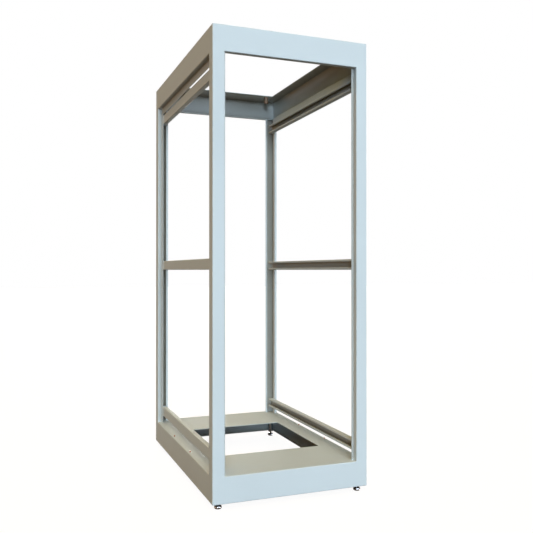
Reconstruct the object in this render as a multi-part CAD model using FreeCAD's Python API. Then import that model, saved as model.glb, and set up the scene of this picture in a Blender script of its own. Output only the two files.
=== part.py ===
import FreeCAD, Part
import math
import os

from FreeCAD import Vector

# Open frame of a free-standing 19-inch equipment cabinet: four folded corner posts between a
# welded top ring and a welded base ring, strut channels along both sides, levelling feet.
# Millimetres. X runs across the width, Y from front (-) to back (+), Z up.
# The origin is on the floor, under the middle of the frame.

# Overall size of the welded body
frame_width = 608.0
frame_depth = 959.0
body_height = 1676.0
foot_standoff = 22.0          # floor to the underside of the base ring

# Folded sheet
sheet = 2.0
inner_bend = 1.0              # inside radius of every fold

# Corner post, seen in plan
post_front_face = 44.5        # face beside the front and back openings
post_side_face = 44.0         # face beside the side openings
opening_return = 22.4         # depth from the front plane to the lip's front
opening_lip = 8.4             # lip that narrows the front and back openings
panel_recess = 18.8           # depth from the side plane to the panel's sealing wall
sealing_wall = 22.3           # width of that wall on the post

# Top ring
top_band = 94.5
top_flange_side = 53.0
top_flange_end = 118.0
top_wall_drop = 28.5          # sealing wall below the side bands

# Base ring
base_band = 96.0
base_flange_side = 81.0
base_flange_end = 254.0
base_return = 14.0            # turned-in lower edge of all four skirts

# Strut channels along the sides
strut_height = 41.3
strut_depth = 20.6
strut_lip = 9.5
strut_curl = 7.0              # lip edge turned back into the channel
strut_sheet = 2.0
strut_end_gap = 38.0          # from the front and back planes to the strut ends
lower_strut_rise = 32.0       # clear height between the base flange and the lower strut
upper_strut_gap = 5.3         # clear height between the hanging sealing wall and the upper strut

# Levelling feet and the bosses that carry them
foot_inset = 28.5             # from both outer planes to the foot's axis
foot_diameter = 27.0
foot_height = 14.0
foot_edge_radius = 5.0        # rounded rim that rests on the floor
foot_top_chamfer = 2.0
stud_diameter = 9.5
stud_length = 80.0            # above the foot's head
stud_chamfer = 1.0
stud_clearance = 0.25         # between the stud and its bore, all round
boss_diameter = 25.0

# Threaded bosses for lifting eyes, under the top flanges
eye_boss_diameter = 21.0
eye_boss_length = 32.0
eye_thread_bore = 10.2        # tapping size of an M12 thread
eye_hole = 13.0               # clear hole through the flange above
eye_side_inset = 80.5         # from the side plane
eye_end_inset = 101.0         # from the front or back plane

# Pins that locate the side panels
pin_diameter = 6.0
pin_height = 6.0
pin_chamfer = 1.0
pin_inset = 10.5              # from the side plane to the pin's axis
pin_spacing = 268.0           # between the two pins of one side

# Levels
base_bottom = foot_standoff
base_top = base_bottom + base_band
body_top = base_bottom + body_height
top_band_bottom = body_top - top_band

half_width = frame_width / 2
half_depth = frame_depth / 2
outer_bend = inner_bend + sheet

# Every point below is measured from the frame's front left corner
corner = Vector(-half_width, -half_depth, 0)
across = Vector(1, 0, 0)
back = Vector(0, 1, 0)
up = Vector(0, 0, 1)


def left_normal(start, end):
    # Unit vector to the left of the way from start to end, in the profile's plane
    run = math.hypot(end[0] - start[0], end[1] - start[1])
    return (-(end[1] - start[1]) / run, (end[0] - start[0]) / run)


def turn_sense(before, point, after):
    # Positive where the path turns left at the point
    first = (point[0] - before[0], point[1] - before[1])
    second = (after[0] - point[0], after[1] - point[1])
    return first[0] * second[1] - first[1] * second[0]


def moved_left(points, distance):
    # The same path on the other face of a sheet this thick
    moved = []
    last = len(points) - 1
    for i, point in enumerate(points):
        before = left_normal(points[max(i - 1, 0)], points[max(i, 1)])
        after = left_normal(points[min(i, last - 1)], points[min(i + 1, last)])
        share = distance / (1 + before[0] * after[0] + before[1] * after[1])
        moved.append((point[0] + share * (before[0] + after[0]), point[1] + share * (before[1] + after[1])))
    return moved


def rounded_path(points, radii, place):
    # Lines joined by tangent arcs, one radius for each inner point
    edges = []
    start = place(points[0])
    for before, point, after, radius in zip(points, points[1:], points[2:], radii):
        here = place(point)
        back_way = (place(before) - here).normalize()
        on_way = (place(after) - here).normalize()
        half_angle = back_way.getAngle(on_way) / 2
        reach = radius / math.tan(half_angle)
        middle_way = (back_way + on_way).normalize()
        bulge = here + middle_way * (radius / math.sin(half_angle) - radius)
        arc_start = here + back_way * reach
        arc_end = here + on_way * reach
        edges.append(Part.LineSegment(start, arc_start).toShape())
        edges.append(Part.Arc(arc_start, bulge, arc_end).toShape())
        start = arc_end
    edges.append(Part.LineSegment(start, place(points[-1])).toShape())
    return edges


def folded_sheet(points, thickness, origin, first_axis, second_axis, run):
    # A sheet folded along the points of its outer face, with its thickness to their left
    def place(point):
        return origin + first_axis * point[0] + second_axis * point[1]

    inner_points = moved_left(points, thickness)
    outer_radii = []
    inner_radii = []
    for before, point, after in zip(points, points[1:], points[2:]):
        folds_inward = turn_sense(before, point, after) > 0
        outer_radii.append(inner_bend + thickness if folds_inward else inner_bend)
        inner_radii.append(inner_bend if folds_inward else inner_bend + thickness)
    edges = rounded_path(points, outer_radii, place)
    edges.append(Part.LineSegment(place(points[-1]), place(inner_points[-1])).toShape())
    edges.extend(rounded_path(inner_points[::-1], inner_radii[::-1], place))
    edges.append(Part.LineSegment(place(inner_points[0]), place(points[0])).toShape())
    outline = Part.Wire(Part.__sortEdges__(edges))
    return Part.Face(outline).extrude(run)


def prism(plan_points, bottom, top):
    # Upright prism on a plan measured from the front left corner
    loop = [corner + across * x + back * y + up * bottom for x, y in plan_points]
    return Part.Face(Part.makePolygon(loop + loop[:1])).extrude(up * (top - bottom))


def block(x_range, y_range, z_range):
    size = (x_range[1] - x_range[0], y_range[1] - y_range[0], z_range[1] - z_range[0])
    return Part.makeBox(*size, corner + Vector(x_range[0], y_range[0], z_range[0]))


def rounded_body(bottom, top):
    # The whole body's outer faces, with its four upright edges ground round
    body = block((0, frame_width), (0, frame_depth), (bottom, top))
    upright = [edge for edge in body.Edges if abs(edge.tangentAt(0).z) > 0.5]
    return body.makeFillet(outer_bend, upright)


def corner_post():
    points = [
        (panel_recess, post_side_face + sealing_wall),
        (panel_recess, post_side_face),
        (0, post_side_face),
        (0, 0),
        (post_front_face, 0),
        (post_front_face, opening_return),
        (post_front_face + opening_lip, opening_return),
    ]
    foot = corner + up * base_top
    return folded_sheet(points, sheet, foot, across, back, up * (top_band_bottom - base_top))


def side_member(top, band, side_flange, turned_in, wall_drop):
    # Left member of a ring: flange, band and turned-in lower edge, mitred at both corners
    bottom = top - band
    points = [(side_flange, top), (0, top), (0, bottom), (turned_in, bottom)]
    if wall_drop:
        points.append((turned_in, bottom - wall_drop))
    member = folded_sheet(points, sheet, corner, across, up, back * frame_depth)
    mitre = [
        (0, 0),
        (side_flange, side_flange),
        (side_flange, frame_depth - side_flange),
        (0, frame_depth),
    ]
    member = member.common(prism(mitre, bottom - wall_drop, top))
    post_end = post_side_face + sealing_wall
    if wall_drop:
        for y_range in ((0, post_end), (frame_depth - post_end, frame_depth)):
            below = (bottom - wall_drop, bottom)
            member = member.cut(block((0, side_flange), y_range, below))
    return member


def end_member(top, band, side_flange, end_flange, turned_in):
    # Front member of a ring, between and behind the side flanges
    bottom = top - band
    points = [(end_flange, top), (0, top), (0, bottom), (turned_in, bottom)]
    member = folded_sheet(points, sheet, corner, back, up, across * frame_width)
    mitre = [
        (0, 0),
        (frame_width, 0),
        (frame_width - side_flange, side_flange),
        (frame_width - side_flange, end_flange),
        (side_flange, end_flange),
        (side_flange, side_flange),
    ]
    return member.common(prism(mitre, bottom, top))


def weld_fill(at_side, low, high):
    # Weld ground flush with both faces where a post's end meets the fold of a ring
    far = (frame_depth if at_side else frame_width) - outer_bend
    near = outer_bend
    reach = post_side_face if at_side else post_front_face
    fills = []
    for span in ((near, reach), (far + near - reach, far)):
        if at_side:
            fills.append(block((0, outer_bend), span, (low, high)))
        else:
            fills.append(block(span, (0, outer_bend), (low, high)))
    return fills


def mirrored(shape, left_right, front_back):
    if left_right:
        shape = shape.mirror(Vector(0, 0, 0), across)
    if front_back:
        shape = shape.mirror(Vector(0, 0, 0), back)
    return shape


def tube(diameter, bore, x, y, bottom, length):
    base = corner + Vector(x, y, bottom)
    return Part.makeCylinder(diameter / 2, length, base).cut(Part.makeCylinder(bore / 2, length, base))


def strut(level):
    # Lipped channel laid along the side, open to the inside, its back on the sealing walls
    half = strut_height / 2
    mouth = half - strut_lip
    points = [
        (strut_depth - strut_curl, mouth),
        (strut_depth, mouth),
        (strut_depth, half),
        (0, half),
        (0, -half),
        (strut_depth, -half),
        (strut_depth, -mouth),
        (strut_depth - strut_curl, -mouth),
    ]
    start = corner + Vector(panel_recess + sheet, strut_end_gap, level)
    run = back * (frame_depth - 2 * strut_end_gap)
    return folded_sheet(points, strut_sheet, start, across, up, run)


def levelling_foot():
    # Round glide turned in one piece with its stud, standing on the floor
    rim = foot_diameter / 2
    stud = stud_diameter / 2
    stud_top = foot_height + stud_length
    floor_edge = rim - foot_edge_radius
    bend = foot_edge_radius * math.sin(math.pi / 4)
    axis = corner + Vector(foot_inset, foot_inset, 0)

    def at(radius, height):
        return axis + Vector(radius, 0, height)

    corners = [
        at(rim, foot_edge_radius),
        at(rim, foot_height - foot_top_chamfer),
        at(rim - foot_top_chamfer, foot_height),
        at(stud, foot_height),
        at(stud, stud_top - stud_chamfer),
        at(stud - stud_chamfer, stud_top),
        at(0, stud_top),
        at(0, 0),
        at(floor_edge, 0),
    ]
    edges = [Part.LineSegment(a, b).toShape() for a, b in zip(corners, corners[1:])]
    on_arc = at(floor_edge + bend, foot_edge_radius - bend)
    edges.append(Part.Arc(corners[-1], on_arc, corners[0]).toShape())
    return Part.Face(Part.Wire(edges)).revolve(axis, up, 360)


def foot_boss():
    bore = stud_diameter + 2 * stud_clearance
    length = base_band - sheet
    return tube(boss_diameter, bore, foot_inset, foot_inset, base_bottom, length)


def eye_boss():
    bottom = body_top - sheet - eye_boss_length
    return tube(eye_boss_diameter, eye_thread_bore, eye_side_inset, eye_end_inset, bottom, eye_boss_length)


def panel_pin():
    base = corner + Vector(pin_inset, half_depth - pin_spacing / 2, base_top)
    pin = Part.makeCylinder(pin_diameter / 2, pin_height, base)
    rim = [edge for edge in pin.Edges if abs(edge.CenterOfMass.z - base_top - pin_height) < pin_chamfer / 2]
    return pin.makeChamfer(pin_chamfer, [edge for edge in rim if edge.Closed])


def top_side():
    member = side_member(body_top, top_band, top_flange_side, panel_recess, top_wall_drop)
    return finished(member, weld_fill(True, top_band_bottom, top_band_bottom + outer_bend))


def top_end():
    turned_in = panel_recess + sheet
    member = end_member(body_top, top_band, top_flange_side, top_flange_end, turned_in)
    for x in (eye_side_inset, frame_width - eye_side_inset):
        centre = corner + Vector(x, eye_end_inset, body_top - sheet)
        member = member.cut(Part.makeCylinder(eye_hole / 2, sheet, centre))
    return finished(member, weld_fill(False, top_band_bottom, top_band_bottom + outer_bend))


def base_side():
    member = side_member(base_top, base_band, base_flange_side, base_return, 0)
    return finished(member, weld_fill(True, base_top - outer_bend, base_top))


def base_end():
    member = end_member(base_top, base_band, base_flange_side, base_flange_end, base_return)
    return finished(member, weld_fill(False, base_top - outer_bend, base_top))


def finished(member, fills):
    whole = member.fuse(fills).common(rounded_body(base_bottom, body_top))
    return whole.removeSplitter()


def save(name, shape):
    solids = shape.Solids
    if len(solids) != 1 or not shape.isValid():
        raise ValueError(f"{name} is {len(solids)} solids, valid {shape.isValid()}")
    solids[0].exportStep(os.path.join("parts", f"{name}.step"))


def main():
    os.makedirs("parts", exist_ok=True)
    sides = {"left": False, "right": True}
    ends = {"front": False, "back": True}

    post = corner_post()
    boss = foot_boss()
    foot = levelling_foot()
    eye = eye_boss()
    pin = panel_pin()
    for end, front_back in ends.items():
        for side, left_right in sides.items():
            save(f"corner_post_{end}_{side}", mirrored(post, left_right, front_back))
            save(f"foot_boss_{end}_{side}", mirrored(boss, left_right, front_back))
            save(f"levelling_foot_{end}_{side}", mirrored(foot, left_right, front_back))
            save(f"lifting_boss_{end}_{side}", mirrored(eye, left_right, front_back))
            save(f"panel_pin_{end}_{side}", mirrored(pin, left_right, front_back))

    for side, left_right in sides.items():
        save(f"top_rail_{side}", mirrored(top_side(), left_right, False))
        save(f"base_rail_{side}", mirrored(base_side(), left_right, False))
    for end, front_back in ends.items():
        save(f"top_rail_{end}", mirrored(top_end(), False, front_back))
        save(f"base_rail_{end}", mirrored(base_end(), False, front_back))

    levels = {
        "lower": base_top + lower_strut_rise + strut_height / 2,
        "middle": base_bottom + body_height / 2,
        "upper": top_band_bottom - top_wall_drop - upper_strut_gap - strut_height / 2,
    }
    for place, level in levels.items():
        channel = strut(level)
        for side, left_right in sides.items():
            save(f"side_strut_{side}_{place}", mirrored(channel, left_right, False))


main()
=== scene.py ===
import math

import bmesh
import bpy
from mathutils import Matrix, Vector


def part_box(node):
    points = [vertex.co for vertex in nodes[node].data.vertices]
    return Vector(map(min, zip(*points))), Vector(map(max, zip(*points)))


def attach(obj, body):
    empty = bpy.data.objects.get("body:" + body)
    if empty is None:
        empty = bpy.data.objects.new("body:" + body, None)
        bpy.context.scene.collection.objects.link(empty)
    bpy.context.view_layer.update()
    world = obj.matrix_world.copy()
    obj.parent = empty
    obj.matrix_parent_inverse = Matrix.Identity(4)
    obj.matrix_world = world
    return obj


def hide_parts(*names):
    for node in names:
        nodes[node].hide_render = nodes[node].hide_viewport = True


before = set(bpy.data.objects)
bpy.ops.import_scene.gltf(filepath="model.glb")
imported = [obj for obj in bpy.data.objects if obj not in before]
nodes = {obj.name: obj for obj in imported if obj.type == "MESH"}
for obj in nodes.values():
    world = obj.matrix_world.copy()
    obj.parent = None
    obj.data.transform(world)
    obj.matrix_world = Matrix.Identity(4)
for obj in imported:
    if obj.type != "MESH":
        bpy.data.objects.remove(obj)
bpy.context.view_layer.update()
ends = {"front": -1, "back": 1}
sides = {"left": -1, "right": 1}
corners = [(end, side) for end in ends for side in sides]
near = 1e-6  # vertices closer than this share a place
white = (1, 1, 1, 1)


# Picking and finishing

def clearSelection():
    if bpy.context.mode != "OBJECT":
        bpy.ops.object.mode_set(mode="OBJECT")
    bpy.ops.object.select_all(action="DESELECT")


def pickOnly(piece):
    clearSelection()
    piece.select_set(True)
    bpy.context.view_layer.objects.active = piece


def selectVerts(piece, test):
    # Selects the vertices whose place passes the test, and stays in edit mode
    bpy.ops.object.mode_set(mode="EDIT")
    bpy.ops.mesh.select_mode(type="VERT")
    bpy.ops.mesh.select_all(action="DESELECT")
    mesh = bmesh.from_edit_mesh(piece.data)
    for vert in mesh.verts:
        vert.select = test(vert.co)
    mesh.select_flush_mode()
    bmesh.update_edit_mesh(piece.data)


def joinPieces(parts, name):
    clearSelection()
    for part in parts:
        part.select_set(True)
    bpy.context.view_layer.objects.active = parts[0]
    if len(parts) > 1:
        bpy.ops.object.join()
    whole = bpy.context.object
    whole.name = name
    whole.data.name = name
    return whole


def placeCopy(model, name, place):
    # A copy with a mesh of its own, set down at the place
    pickOnly(model)
    bpy.ops.object.duplicate(linked=False)
    piece = bpy.context.object
    piece.name = name
    piece.data.name = name
    piece.location = place
    return piece


def removeModel(model):
    pickOnly(model)
    bpy.ops.object.delete()


def axisAt(node, z):
    # Where a turned part's upright axis passes a height
    low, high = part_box(node)
    return ((low.x + high.x) / 2, (low.y + high.y) / 2, z)


def finishPiece(piece, body, material, smoothAngle=50):
    # Place goes into the mesh, normals face out, and the piece rides its body
    pickOnly(piece)
    bpy.ops.object.transform_apply(location=True, rotation=True, scale=True)
    bpy.ops.object.mode_set(mode="EDIT")
    bpy.ops.mesh.select_all(action="SELECT")
    bpy.ops.mesh.normals_make_consistent(inside=False)
    bpy.ops.object.mode_set(mode="OBJECT")
    bpy.ops.object.shade_smooth_by_angle(angle=math.radians(smoothAngle))
    piece.data.materials.clear()
    piece.data.materials.append(material)
    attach(piece, body)
    return piece


# Shader nodes: a source is another node's socket or a plain value

def addNode(tree, kind, place, **settings):
    node = tree.nodes.new(kind)
    node.location = place
    for key, value in settings.items():
        setattr(node, key, value)
    return node


def plug(tree, socket, source):
    if isinstance(source, bpy.types.NodeSocket):
        tree.links.new(source, socket)
    else:
        socket.default_value = source


def addMath(tree, place, operation, *sources):
    node = addNode(tree, "ShaderNodeMath", place, operation=operation)
    for socket, source in zip(node.inputs, sources):
        plug(tree, socket, source)
    return node.outputs["Value"]


def addMix(tree, place, factor, first, second, blend="MIX"):
    node = addNode(tree, "ShaderNodeMix", place, data_type="RGBA", blend_type=blend)
    plug(tree, node.inputs["Factor"], factor)
    plug(tree, node.inputs["A"], first)
    plug(tree, node.inputs["B"], second)
    return node.outputs["Result"]


def addRange(tree, place, source, span, toLow=0.0, toHigh=1.0):
    node = addNode(tree, "ShaderNodeMapRange", place)
    plug(tree, node.inputs["Value"], source)
    node.inputs["From Min"].default_value, node.inputs["From Max"].default_value = span
    node.inputs["To Min"].default_value = toLow
    node.inputs["To Max"].default_value = toHigh
    return node.outputs["Result"]


def addNoise(tree, place, coords, scale, detail, roughness):
    node = addNode(tree, "ShaderNodeTexNoise", place)
    plug(tree, node.inputs["Vector"], coords)
    node.inputs["Scale"].default_value = scale
    node.inputs["Detail"].default_value = detail
    node.inputs["Roughness"].default_value = roughness
    return node.outputs["Fac"]


def addMapping(tree, place, coords, scale, lean=(0, 0, 0)):
    node = addNode(tree, "ShaderNodeMapping", place)
    plug(tree, node.inputs["Vector"], coords)
    node.inputs["Scale"].default_value = scale
    node.inputs["Rotation"].default_value = lean
    return node.outputs["Vector"]


def addBump(tree, place, strength, height, depth):
    node = addNode(tree, "ShaderNodeBump", place)
    plug(tree, node.inputs["Strength"], strength)
    plug(tree, node.inputs["Height"], height)
    node.inputs["Distance"].default_value = depth
    return node.outputs["Normal"]


def newGroup(name, inputs):
    # A group that gives a colour, a roughness and a normal
    group = bpy.data.node_groups.new(name, "ShaderNodeTree")
    for label, kind, value in inputs:
        socket = group.interface.new_socket(name=label, in_out="INPUT", socket_type=kind)
        socket.default_value = value
    for label, kind in (("Color", "NodeSocketColor"), ("Roughness", "NodeSocketFloat"),
                        ("Normal", "NodeSocketVector")):
        group.interface.new_socket(name=label, in_out="OUTPUT", socket_type=kind)
    return group


def closeGroup(group, color, roughness, normal):
    outside = addNode(group, "NodeGroupOutput", (700, 0))
    group.links.new(color, outside.inputs["Color"])
    group.links.new(roughness, outside.inputs["Roughness"])
    group.links.new(normal, outside.inputs["Normal"])
    return group


coat = {
    "drift": {"scale": 2.2, "detail": 3.0, "roughness": 0.55},
    "driftSpan": (0.3, 0.7),
    "dust": {"scale": 9.0, "detail": 6.0, "roughness": 0.62},
    "dustSpan": (0.32, 0.66),
    "dustLeast": 0.55,
    "dustFacing": (0.5, 0.95),
    "dustRoughness": 0.30,
    "scuffs": {"scale": 160.0, "detail": 2.0, "roughness": 0.5},
    "scuffStretch": (1.0, 1.0, 0.18),
    "scuffLean": (0.25, 0.15, 0.0),
    "scuffSpan": (0.68, 0.78),
    "scuffMost": 0.10,
    "scuffTone": (0.72, 0.71, 0.68, 1),
    # Painted shade in recesses: how far the occlusion looks, and the occlusion range that darkens the
    # colour
    "paintedShadeReach": 0.14,
    "paintedShadeSpan": (0.3, 0.85),
    "peel": {"scale": 420.0, "detail": 2.0, "roughness": 0.5},
    "peelDepth": 0.0006,
}


def buildCoatGroup():
    # Sprayed and baked paint: slow tone drift, handling marks, settled dust, painted shade in folds and
    # orange peel
    group = newGroup("sprayedCoat", [
        ("Tone", "NodeSocketColor", (0.6, 0.655, 0.665, 1)),
        ("Drift", "NodeSocketFloat", 0.06),
        ("Dust", "NodeSocketFloat", 0.35),
        ("Dust Tone", "NodeSocketColor", (0.5, 0.47, 0.38, 1)),
        # The next two inputs set the painted shade in recesses: how much, and its tone
        ("Painted Shade", "NodeSocketFloat", 0.5),
        ("Painted Shade Tone", "NodeSocketColor", (0.45, 0.4, 0.33, 1)),
        ("Gloss Floor", "NodeSocketFloat", 0.34),
        ("Peel", "NodeSocketFloat", 0.12),
    ])
    given = addNode(group, "NodeGroupInput", (-1300, 0)).outputs
    coords = addNode(group, "ShaderNodeTexCoord", (-1300, -300)).outputs["Object"]

    slow = addNoise(group, (-1050, 300), coords, **coat["drift"])
    drift = addRange(group, (-850, 300), slow, coat["driftSpan"], -0.5, 0.5)
    driftBy = addMath(group, (-650, 300), "MULTIPLY_ADD", drift, given["Drift"], 1.0)
    toned = addNode(group, "ShaderNodeVectorMath", (-450, 300), operation="SCALE")
    plug(group, toned.inputs[0], given["Tone"])
    plug(group, toned.inputs["Scale"], driftBy)

    # Dust lies where the face looks up
    facing = addNode(group, "ShaderNodeNewGeometry", (-1300, -50))
    parted = addNode(group, "ShaderNodeSeparateXYZ", (-1050, 50))
    plug(group, parted.inputs["Vector"], facing.outputs["Normal"])
    upward = addRange(group, (-850, 50), parted.outputs["Z"], coat["dustFacing"])
    patches = addNoise(group, (-1050, -150), coords, **coat["dust"])
    patchMask = addRange(group, (-850, -150), patches, coat["dustSpan"], coat["dustLeast"])
    dustMask = addMath(group, (-650, 0), "MULTIPLY", upward, patchMask)
    dustBy = addMath(group, (-450, 0), "MULTIPLY", dustMask, given["Dust"])
    dusted = addMix(group, (-200, 200), dustBy, toned.outputs["Vector"], given["Dust Tone"])

    # Fine handling scuffs, long along the metal
    stretched = addMapping(group, (-1050, -400), coords, coat["scuffStretch"], coat["scuffLean"])
    scuffs = addNoise(group, (-850, -400), stretched, **coat["scuffs"])
    scuffMask = addRange(group, (-650, -400), scuffs, coat["scuffSpan"], 0.0, coat["scuffMost"])
    scuffed = addMix(group, (100, 200), scuffMask, dusted, coat["scuffTone"], "MULTIPLY")

    # Painted shade darkens the colour in folds, channels and corners, where less light reaches
    nook = addNode(group, "ShaderNodeAmbientOcclusion", (-450, 550), samples=12, only_local=True)
    nook.inputs["Distance"].default_value = coat["paintedShadeReach"]
    nookMask = addRange(group, (-250, 550), nook.outputs["AO"], coat["paintedShadeSpan"], 1.0, 0.0)
    nookBy = addMath(group, (-50, 550), "MULTIPLY", nookMask, given["Painted Shade"])
    withPaintedShade = addMix(group, (350, 300), nookBy, scuffed, given["Painted Shade Tone"], "MULTIPLY")

    gloss = addMath(group, (-200, -100), "MULTIPLY_ADD", dustBy, coat["dustRoughness"],
                    given["Gloss Floor"])
    glossScuffed = addMath(group, (100, -100), "ADD", gloss, scuffMask)

    peel = addNoise(group, (-450, -350), coords, **coat["peel"])
    bump = addBump(group, (100, -350), given["Peel"], peel, coat["peelDepth"])
    return closeGroup(group, withPaintedShade, glossScuffed, bump)


turned = {
    "blotch": {"scale": 110.0, "detail": 5.0, "roughness": 0.6},
    "blotchSpan": (0.42, 0.66),
    "stainRoughness": 0.16,
    "rings": {"scale": 2600.0, "detail": 2.0, "roughness": 0.5},
    "ringStretch": (0.05, 0.05, 1.0),
    "ringDepth": 0.0002,
}


def buildTurnedGroup():
    # Bare or plated metal turned on a lathe: rings along the height and blotches
    group = newGroup("turnedMetal", [
        ("Tone", "NodeSocketColor", (0.6, 0.58, 0.54, 1)),
        ("Stain Tone", "NodeSocketColor", (0.4, 0.35, 0.27, 1)),
        ("Stain", "NodeSocketFloat", 0.3),
        ("Polish", "NodeSocketFloat", 0.25),
        ("Rings", "NodeSocketFloat", 0.2),
    ])
    given = addNode(group, "NodeGroupInput", (-1100, 0)).outputs
    coords = addNode(group, "ShaderNodeTexCoord", (-1100, -300)).outputs["Object"]

    blotch = addNoise(group, (-850, 200), coords, **turned["blotch"])
    blotchMask = addRange(group, (-650, 200), blotch, turned["blotchSpan"])
    stainBy = addMath(group, (-450, 200), "MULTIPLY", blotchMask, given["Stain"])
    stained = addMix(group, (-200, 200), stainBy, given["Tone"], given["Stain Tone"])
    roughBy = addMath(group, (-200, -50), "MULTIPLY_ADD", stainBy, turned["stainRoughness"],
                      given["Polish"])

    flattened = addMapping(group, (-850, -250), coords, turned["ringStretch"])
    rings = addNoise(group, (-650, -250), flattened, **turned["rings"])
    bump = addBump(group, (-200, -300), given["Rings"], rings, turned["ringDepth"])
    return closeGroup(group, stained, roughBy, bump)


coatGroup = buildCoatGroup()
turnedGroup = buildTurnedGroup()
print("stage: shader groups built")


# Materials

def newMaterial(name, group, values, shaderValues):
    material = bpy.data.materials.new(name)
    material.use_nodes = True
    tree = material.node_tree
    shader = tree.nodes["Principled BSDF"]
    effect = addNode(tree, "ShaderNodeGroup", (-300, 200), node_tree=group)
    for label, value in values.items():
        effect.inputs[label].default_value = value
    for label, value in shaderValues.items():
        shader.inputs[label].default_value = value
    tree.links.new(effect.outputs["Color"], shader.inputs["Base Color"])
    tree.links.new(effect.outputs["Roughness"], shader.inputs["Roughness"])
    tree.links.new(effect.outputs["Normal"], shader.inputs["Normal"])
    return material


def newFramePaint(name, paintedShade, paintedShadeTone):
    # One paint for the whole frame, with painted shade darkening it in folds and recesses
    return newMaterial(name, coatGroup, {
        "Tone": (0.60, 0.655, 0.665, 1),
        "Drift": 0.05,
        "Dust": 0.2,
        "Dust Tone": (0.50, 0.475, 0.39, 1),
        "Painted Shade": paintedShade,
        "Painted Shade Tone": paintedShadeTone,
        "Gloss Floor": 0.52,
        "Peel": 0.12,
    }, {"Metallic": 0.0, "IOR": 1.45, "Specular IOR Level": 0.05})


# The three copies differ only in painted shade: deepest on the top ring, lightest on the base ring
framePaint = newFramePaint("framePaint", 0.8, (0.50, 0.40, 0.28, 1))
topPaint = newFramePaint("topPaint", 1.0, (0.33, 0.26, 0.19, 1))
basePaint = newFramePaint("basePaint", 0.5, (0.55, 0.42, 0.28, 1))

weldPaint = newMaterial("weldPaint", coatGroup, {
    "Tone": (0.56, 0.61, 0.62, 1),
    "Drift": 0.10,
    "Dust": 0.3,
    "Dust Tone": (0.46, 0.43, 0.36, 1),
    "Gloss Floor": 0.36,
    "Peel": 0.4,
}, {"Metallic": 0.0, "IOR": 1.45})

brightChrome = newMaterial("brightChrome", turnedGroup, {
    "Tone": (0.50, 0.51, 0.54, 1),
    "Stain Tone": (0.24, 0.16, 0.10, 1),
    "Stain": 0.3,
    "Polish": 0.09,
    "Rings": 0.04,
}, {"Metallic": 1.0})

zincSteel = newMaterial("zincSteel", turnedGroup, {
    "Tone": (0.60, 0.57, 0.52, 1),
    "Stain Tone": (0.42, 0.34, 0.22, 1),
    "Stain": 0.45,
    "Polish": 0.30,
    "Rings": 0.25,
}, {"Metallic": 1.0})

# The lifting bosses' dark brown colour is painted reflection on bright metal: it stands in for the dark
# and orange-brown surroundings it mirrors
steelWithPaintedDarkReflection = newMaterial("steelWithPaintedDarkReflection", turnedGroup, {
    "Tone": (0.15, 0.11, 0.08, 1),
    "Stain Tone": (0.17, 0.085, 0.04, 1),
    "Stain": 0.6,
    "Polish": 0.55,
    "Rings": 0.25,
}, {"Metallic": 0.5})

sleeveSteel = newMaterial("sleeveSteel", turnedGroup, {
    "Tone": (0.50, 0.60, 0.68, 1),
    "Stain Tone": (0.24, 0.25, 0.24, 1),
    "Stain": 0.35,
    "Polish": 0.2,
    "Rings": 0.15,
}, {"Metallic": 1.0})

pinCopper = newMaterial("pinCopper", turnedGroup, {
    "Tone": (0.50, 0.26, 0.18, 1),
    "Stain Tone": (0.28, 0.13, 0.08, 1),
    "Stain": 0.3,
    "Polish": 0.36,
    "Rings": 0.15,
}, {"Metallic": 0.25})

nodeFinish = {
    "corner_post": framePaint,
    "top_rail": topPaint,
    "base_rail": basePaint,
    "side_strut": framePaint,
    "foot_boss": sleeveSteel,
    "lifting_boss": steelWithPaintedDarkReflection,
    "levelling_foot": brightChrome,
    "panel_pin": pinCopper,
}
for nodeName, node in nodes.items():
    for start, material in nodeFinish.items():
        if nodeName.startswith(start):
            for place in range(len(node.material_slots)):
                node.material_slots[place].material = material
print("stage: CAD nodes finished")


# Welds

weld = {
    "ripple": 0.0022,
    "strutBead": 0.0015,
    "cornerBead": 0.0016,
    "around": 8,  # vertices round a bead
    "leastRipples": 4,
    "leastRingRipples": 16,
    "swell": 0.16,
    "taper": 0.45,
}


def swellBead(bead):
    # Every second band of vertices is picked, and stands out as a ripple
    bpy.ops.transform.shrink_fatten(value=bead * weld["swell"])
    bpy.ops.object.mode_set(mode="OBJECT")


def weldRing(radius, bead, ripple):
    # Round fillet bead with the ripples of a weld run
    ripples = max(weld["leastRingRipples"], int(2 * math.pi * radius / ripple))
    clearSelection()
    bpy.ops.mesh.primitive_torus_add(major_segments=2 * ripples, minor_segments=weld["around"],
                                     major_radius=radius, minor_radius=bead, location=(0, 0, 0))
    ring = bpy.context.object
    step = math.pi / ripples
    selectVerts(ring, lambda co: round(math.atan2(co.y, co.x) / step) % 2 == 0)
    swellBead(bead)
    return ring


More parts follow.
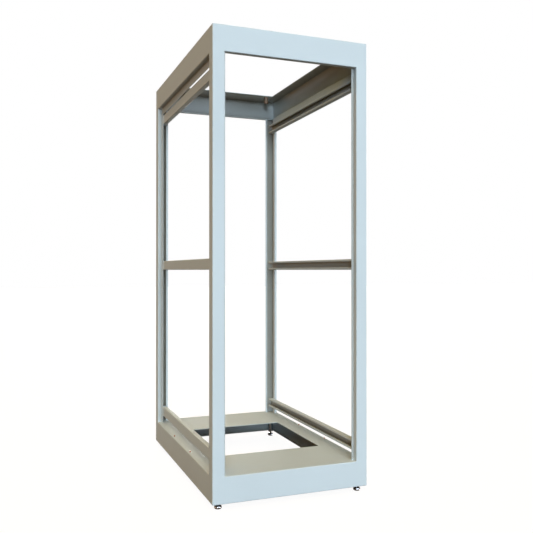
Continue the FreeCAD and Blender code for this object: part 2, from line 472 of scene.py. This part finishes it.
def weldRun(start, end, bead):
    # Straight fillet bead, rippled along its run and tapered at both ends
    start, end = Vector(start), Vector(end)
    way = end - start
    ripples = max(weld["leastRipples"], int(way.length / weld["ripple"]))
    clearSelection()
    bpy.ops.mesh.primitive_cylinder_add(vertices=weld["around"], radius=bead, depth=way.length,
                                        location=(start + end) / 2,
                                        rotation=way.to_track_quat("Z", "Y").to_euler())
    run = bpy.context.object
    half = way.length / 2
    bpy.ops.object.mode_set(mode="EDIT")
    bpy.ops.mesh.select_mode(type="EDGE")
    bpy.ops.mesh.select_all(action="DESELECT")
    mesh = bmesh.from_edit_mesh(run.data)
    for edge in mesh.edges:
        edge.select = abs(edge.verts[0].co.z - edge.verts[1].co.z) > half
    bmesh.update_edit_mesh(run.data)
    bpy.ops.mesh.subdivide(number_cuts=2 * ripples - 1)
    bpy.ops.object.mode_set(mode="OBJECT")
    step = half / ripples
    selectVerts(run, lambda co: round((co.z + half) / step) % 2 == 1)
    swellBead(bead)
    for tip in (-half, half):
        selectVerts(run, lambda co: abs(co.z - tip) < near)
        bpy.ops.transform.resize(value=(weld["taper"],) * 3,
                                 center_override=run.matrix_world @ Vector((0, 0, tip)))
        bpy.ops.object.mode_set(mode="OBJECT")
    return run


def finishWelds(runs, name):
    finishPiece(joinPieces(runs, name), "frame", weldPaint)


# Struts are welded to the posts' sealing walls along their back corners
strutRun = {"start": 0.046, "stop": 0.0655}  # in from the frame's front or back face
for side, sideSign in sides.items():
    faceY = abs(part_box(f"corner_post_front_{side}")[0].y)
    for level in ("lower", "middle", "upper"):
        low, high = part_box(f"side_strut_{side}_{level}")
        backX = sideSign * max(abs(low.x), abs(high.x))
        runs = []
        for endSign in ends.values():
            outer = endSign * (faceY - strutRun["start"])
            inner = endSign * (faceY - strutRun["stop"])
            for z in (low.z, high.z):
                runs.append(weldRun((backX, outer, z), (backX, inner, z), weld["strutBead"]))
        finishWelds(runs, f"strut_welds_{side}_{level}")
print("stage: strut welds")


# Rings are welded inside their corners and under their flanges' mitres, and posts inside at both ends

topLow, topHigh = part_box("top_rail_front")
baseLow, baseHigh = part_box("base_rail_front")
sheet = 0.002
# Runs are measured inwards from the outer corner, the butt as its seam's place and both its ends
ringWelds = {
    "top": {
        "flange": topHigh.z - sheet,
        "corner": (topLow.z + sheet, topHigh.z - sheet),
        "mitre": [(0.004, 0.053)],
        "butt": (0.053, 0.055, 0.1175),
    },
    "base": {
        "flange": baseHigh.z - sheet,
        "corner": (baseLow.z + sheet, baseHigh.z - sheet),
        "mitre": [(0.004, 0.0190), (0.0380, 0.081)],
        "butt": (0.081, 0.083, 0.2535),
    },
}
postWelds = {"foot": baseHigh.z, "head": topLow.z}
postRuns = {"side": (0.004, 0.041), "end": (0.004, 0.0415)}


def cornerRun(end, side, start, stop):
    # A run between two places measured inwards from the frame's outer corner
    tips = []
    for inX, inY, z in (start, stop):
        tips.append((sides[side] * (topHigh.x - inX), ends[end] * (abs(topLow.y) - inY), z))
    return weldRun(tips[0], tips[1], weld["cornerBead"])


for end, side in corners:
    for ring, place in ringWelds.items():
        flange = place["flange"]
        runs = [cornerRun(end, side, (start, start, flange), (stop, stop, flange))
                for start, stop in place["mitre"]]
        seam, start, stop = place["butt"]
        runs.append(cornerRun(end, side, (seam, start, flange), (seam, stop, flange)))
        low, high = place["corner"]
        runs.append(cornerRun(end, side, (sheet, sheet, low), (sheet, sheet, high)))
        finishWelds(runs, f"{ring}_ring_welds_{end}_{side}")
    for tip, level in postWelds.items():
        start, stop = postRuns["side"]
        runs = [cornerRun(end, side, (sheet, start, level), (sheet, stop, level))]
        start, stop = postRuns["end"]
        runs.append(cornerRun(end, side, (start, sheet, level), (stop, sheet, level)))
        finishWelds(runs, f"post_{tip}_welds_{end}_{side}")
print("stage: corner welds")

# Turned parts are welded all round, bosses at their upper end (1) and pins at their foot (0)
roundWelds = {
    "foot_boss": {"level": 1, "bead": 0.0016, "ripple": 0.0022},
    "lifting_boss": {"level": 1, "bead": 0.0016, "ripple": 0.0022},
    "panel_pin": {"level": 0, "bead": 0.0008, "ripple": 0.0012},
}
for part, place in roundWelds.items():
    low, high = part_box(f"{part}_front_left")
    model = weldRing((high.x - low.x) / 2, place["bead"], place["ripple"])
    for end, side in corners:
        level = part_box(f"{part}_{end}_{side}")[place["level"]].z
        ring = placeCopy(model, f"{part}_weld_{end}_{side}", axisAt(f"{part}_{end}_{side}", level))
        finishPiece(ring, "frame", weldPaint)
    removeModel(model)
print("stage: round welds")


# Levelling feet, each turned in one piece from a profile of radius and height

def turnedPiece(profile, steps):
    clearSelection()
    bpy.ops.mesh.primitive_plane_add(size=0.001, location=(0, 0, 0))
    piece = bpy.context.object
    bpy.ops.object.mode_set(mode="EDIT")
    bpy.ops.mesh.select_mode(type="VERT")
    bpy.ops.mesh.select_all(action="SELECT")
    bpy.ops.mesh.merge(type="CENTER")
    radius, height = profile[0]
    bpy.ops.transform.translate(value=(radius, 0, height))
    for (radius, height), (nextRadius, nextHeight) in zip(profile, profile[1:]):
        bpy.ops.mesh.extrude_region_move(
            TRANSFORM_OT_translate={"value": (nextRadius - radius, 0, nextHeight - height)})
    bpy.ops.object.mode_set(mode="OBJECT")
    turning = piece.modifiers.new("turning", "SCREW")
    turning.axis = "Z"
    turning.steps = turning.render_steps = steps
    turning.use_merge_vertices = True
    turning.merge_threshold = near
    bpy.ops.object.modifier_apply(modifier="turning")
    return piece


glide = {
    "rim": [(0.0, 0.0), (0.0085, 0.0), (0.0100, 0.0004), (0.0115, 0.0013), (0.0127, 0.0028),
            (0.0133, 0.0043), (0.0135, 0.0060)],
    "dome": [(0.0134, 0.0074), (0.0130, 0.0089), (0.0123, 0.0103), (0.0112, 0.0116), (0.0098, 0.0127),
             (0.0080, 0.0135), (0.0062, 0.0139), (0.0050, 0.0140)],
    "neck": 0.0142,
    "studRadius": 0.00475,
    "studChamfer": 0.001,
    "steps": 64,
}

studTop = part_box("levelling_foot_front_left")[1].z
stud = [(glide["studRadius"], glide["neck"]), (glide["studRadius"], studTop - glide["studChamfer"]),
        (glide["studRadius"] - glide["studChamfer"], studTop), (0.0, studTop)]
model = turnedPiece(glide["rim"] + glide["dome"] + stud, glide["steps"])
for end, side in corners:
    foot = placeCopy(model, f"foot_glide_{end}_{side}", axisAt(f"levelling_foot_{end}_{side}", 0))
    finishPiece(foot, f"foot_{end}_{side}", brightChrome)
    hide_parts(f"levelling_foot_{end}_{side}")
removeModel(model)
print("stage: levelling feet")


# Threads

threadForm = {"seed": 0.001, "fill": 0.8, "steps": 20, "smoothAngle": 20}


def threadHelix(thread, length):
    # One V ridge wound up the axis, from the root radius to the crest
    clearSelection()
    bpy.ops.mesh.primitive_circle_add(vertices=3, radius=threadForm["seed"], fill_type="NOTHING",
                                      rotation=(math.pi / 2, 0, 0))
    ridge = bpy.context.object
    bpy.ops.object.transform_apply(location=False, rotation=True, scale=False)
    tall = thread["pitch"] * threadForm["fill"]
    root, crest = thread["root"], thread["crest"]
    apex = max(ridge.data.vertices, key=lambda vert: abs(vert.co.z)).index
    others = [vert.index for vert in ridge.data.vertices if vert.index != apex]
    targets = {apex: (crest, 0, tall / 2), others[0]: (root, 0, 0), others[1]: (root, 0, tall)}
    for index, target in targets.items():
        here = ridge.data.vertices[index].co.copy()
        selectVerts(ridge, lambda co: (co - here).length < near)
        bpy.ops.transform.translate(value=Vector(target) - here)
        bpy.ops.object.mode_set(mode="OBJECT")
    winding = ridge.modifiers.new("winding", "SCREW")
    winding.axis = "Z"
    winding.angle = 2 * math.pi
    winding.screw_offset = thread["pitch"]
    winding.iterations = int(length / thread["pitch"])
    winding.steps = winding.render_steps = threadForm["steps"]
    winding.use_merge_vertices = False
    bpy.ops.object.modifier_apply(modifier="winding")
    bpy.ops.object.mode_set(mode="EDIT")
    bpy.ops.mesh.select_mode(type="EDGE")
    bpy.ops.mesh.select_all(action="DESELECT")
    bpy.ops.mesh.select_non_manifold()
    bpy.ops.mesh.edge_face_add()
    bpy.ops.object.mode_set(mode="OBJECT")
    return ridge


studThread = {"root": 0.00465, "crest": 0.00494, "pitch": 0.00159, "start": 0.0145, "runOut": 0.002}
model = threadHelix(studThread, studTop - studThread["runOut"] - studThread["start"])
for end, side in corners:
    place = axisAt(f"levelling_foot_{end}_{side}", studThread["start"])
    ridge = placeCopy(model, f"stud_thread_{end}_{side}", place)
    finishPiece(ridge, f"foot_{end}_{side}", brightChrome, threadForm["smoothAngle"])
removeModel(model)

eyeThread = {"root": 0.00525, "crest": 0.0045, "pitch": 0.00175, "runOut": 0.001}
low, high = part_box("lifting_boss_front_left")
model = threadHelix(eyeThread, high.z - low.z - 2 * eyeThread["runOut"])
for end, side in corners:
    place = axisAt(f"lifting_boss_{end}_{side}", low.z + eyeThread["runOut"])
    ridge = placeCopy(model, f"eye_thread_{end}_{side}", place)
    finishPiece(ridge, "frame", zincSteel, threadForm["smoothAngle"])
removeModel(model)
print("stage: threads")


# Floor, background and light

floorLook = {
    "size": 60,
    "tone": (0.09, 0.07, 0.05, 1),
    "roughness": 0.9,
    "gloss": 0.1,
    "shadeReach": 0.5,
    "shadeSpan": (0.4, 0.97),
    "shadeLeast": 0.05,
    "shadeTint": (1.0, 0.55, 0.25, 1),
    "glow": 0.95,
}


def stageFloor():
    clearSelection()
    bpy.ops.mesh.primitive_plane_add(size=floorLook["size"], location=(0, 0, 0))
    floor = bpy.context.object
    floor.name = "studio_floor"
    material = bpy.data.materials.new("studioFloor")
    material.use_nodes = True
    tree = material.node_tree
    shader = tree.nodes["Principled BSDF"]
    shader.inputs["Base Color"].default_value = floorLook["tone"]
    shader.inputs["Roughness"].default_value = floorLook["roughness"]
    shader.inputs["Specular IOR Level"].default_value = floorLook["gloss"]
    # The floor glows white to the camera, and to metal as far as nothing stands over it
    rays = addNode(tree, "ShaderNodeLightPath", (-900, -200)).outputs
    clear = addNode(tree, "ShaderNodeAmbientOcclusion", (-900, -500), samples=16)
    clear.inputs["Distance"].default_value = floorLook["shadeReach"]
    shaded = addRange(tree, (-700, -500), clear.outputs["AO"], floorLook["shadeSpan"],
                      floorLook["shadeLeast"])
    mirrored = addMath(tree, (-500, -400), "MULTIPLY", rays["Is Glossy Ray"], shaded)
    seen = addMath(tree, (-500, -200), "MAXIMUM", rays["Is Camera Ray"], rays["Is Transmission Ray"])
    glowing = addMath(tree, (-300, -200), "MAXIMUM", seen, mirrored)
    glow = addMath(tree, (-100, -200), "MULTIPLY", glowing, floorLook["glow"])
    plain = addMath(tree, (-500, -650), "MAXIMUM", shaded, rays["Is Camera Ray"])
    tinted = addMix(tree, (-300, -600), plain, floorLook["shadeTint"], white)
    tree.links.new(tinted, shader.inputs["Emission Color"])
    tree.links.new(glow, shader.inputs["Emission Strength"])
    floor.data.materials.append(material)


worldLook = {
    "room": (0.003, 0.002, 0.001, 1),
    "windowWay": (0.565, -0.807, 0.17),
    "windowSpan": (0.8, 0.92),
    "warm": (0.28, 0.22, 0.16, 1),
    "cool": (0.40, 0.48, 0.60, 1),
    "coolSpan": (-0.2, 0.7),
}


def addBackground(tree, place, source):
    node = addNode(tree, "ShaderNodeBackground", place)
    plug(tree, node.inputs["Color"], source)
    return node.outputs["Background"]


def addBlend(tree, place, factor, first, second):
    node = addNode(tree, "ShaderNodeMixShader", place)
    for socket, source in zip(node.inputs, (factor, first, second)):
        tree.links.new(source, socket)
    return node.outputs["Shader"]


def stageWorld():
    world = bpy.data.worlds.new("studioWorld")
    bpy.context.scene.world = world
    world.use_nodes = True
    tree = world.node_tree
    tree.nodes.clear()
    out = addNode(tree, "ShaderNodeOutputWorld", (600, 0))
    rays = addNode(tree, "ShaderNodeLightPath", (-600, 200)).outputs
    seen = addMath(tree, (-400, 200), "MAXIMUM", rays["Is Camera Ray"], rays["Is Transmission Ray"])
    # Metal sees the same pale backdrop, white at the front right and dimmer and warmer away from it
    ways = addNode(tree, "ShaderNodeTexCoord", (-1100, -300)).outputs["Generated"]
    side = addNode(tree, "ShaderNodeVectorMath", (-900, -300), operation="DOT_PRODUCT")
    plug(tree, side.inputs[0], ways)
    plug(tree, side.inputs[1], worldLook["windowWay"])
    coolBy = addRange(tree, (-700, -200), side.outputs["Value"], worldLook["coolSpan"])
    cool = addMix(tree, (-400, -200), coolBy, worldLook["warm"], worldLook["cool"])
    windowBy = addRange(tree, (-700, -450), side.outputs["Value"], worldLook["windowSpan"])
    window = addMix(tree, (-200, -200), windowBy, cool, white)
    room = addBackground(tree, (0, 0), worldLook["room"])
    backdrop = addBackground(tree, (0, -150), white)
    mirrored = addBackground(tree, (0, -300), window)
    dim = addBlend(tree, (200, 100), rays["Is Glossy Ray"], room, mirrored)
    mixed = addBlend(tree, (400, 0), seen, dim, backdrop)
    tree.links.new(mixed, out.inputs["Surface"])


lampDistance = 5
lamps = {
    "frontRight": {"turn": 35, "rise": 0, "strength": 1.99, "colour": (0.761, 0.865, 1.0), "spread": 30},
    "frontHigh": {"turn": -10, "rise": 35, "strength": 1.92, "colour": (0.733, 0.867, 1.0), "spread": 45},
    "frontLeft": {"turn": -20, "rise": 5, "strength": 1.07, "colour": (0.738, 0.884, 1.0), "spread": 12},
    "leftWarm": {"turn": -70, "rise": 66, "strength": 0.62, "colour": (1.0, 0.59, 0.015), "spread": 60},
    "leftLow": {"turn": -100, "rise": 2, "strength": 0.43, "colour": (1.0, 0.42, 0.02), "spread": 12},
    "topWarm": {"turn": 0, "rise": 88, "strength": 0.9, "colour": (1.0, 0.823, 0.485), "spread": 90},
    "backFill": {"turn": 165, "rise": 1.5, "strength": 1.2, "colour": (1.0, 0.98, 0.92), "spread": 8},
    "rightFill": {"turn": 88, "rise": 1.5, "strength": 1.3, "colour": (1.0, 0.95, 0.88), "spread": 8},
}


def stageLamps():
    for name, lamp in lamps.items():
        turn, rise = math.radians(lamp["turn"]), math.radians(lamp["rise"])
        way = Vector((math.sin(turn) * math.cos(rise), -math.cos(turn) * math.cos(rise), math.sin(rise)))
        bpy.ops.object.light_add(type="SUN", location=way * lampDistance)
        light = bpy.context.object
        light.name = name
        light.rotation_euler = way.to_track_quat("Z", "Y").to_euler()
        light.data.energy = lamp["strength"]
        light.data.color = lamp["colour"]
        light.data.angle = math.radians(lamp["spread"])


view = {
    "place": (-0.95817, -2.70423, 0.83854),
    "turn": 21.018,
    "pitch": 0.299,
    "lens": 45.04,
    "sensor": 36,
    "reach": 200,
}


def stageCamera():
    bpy.ops.object.camera_add(location=view["place"],
                              rotation=(math.radians(90 + view["pitch"]), 0, -math.radians(view["turn"])))
    camera = bpy.context.object
    camera.data.sensor_width = view["sensor"]
    camera.data.lens = view["lens"]
    camera.data.clip_end = view["reach"]
    bpy.context.scene.camera = camera


stageFloor()
stageWorld()
stageLamps()
stageCamera()
bpy.context.scene.view_settings.view_transform = "Standard"
print("stage: floor, lamps and camera")
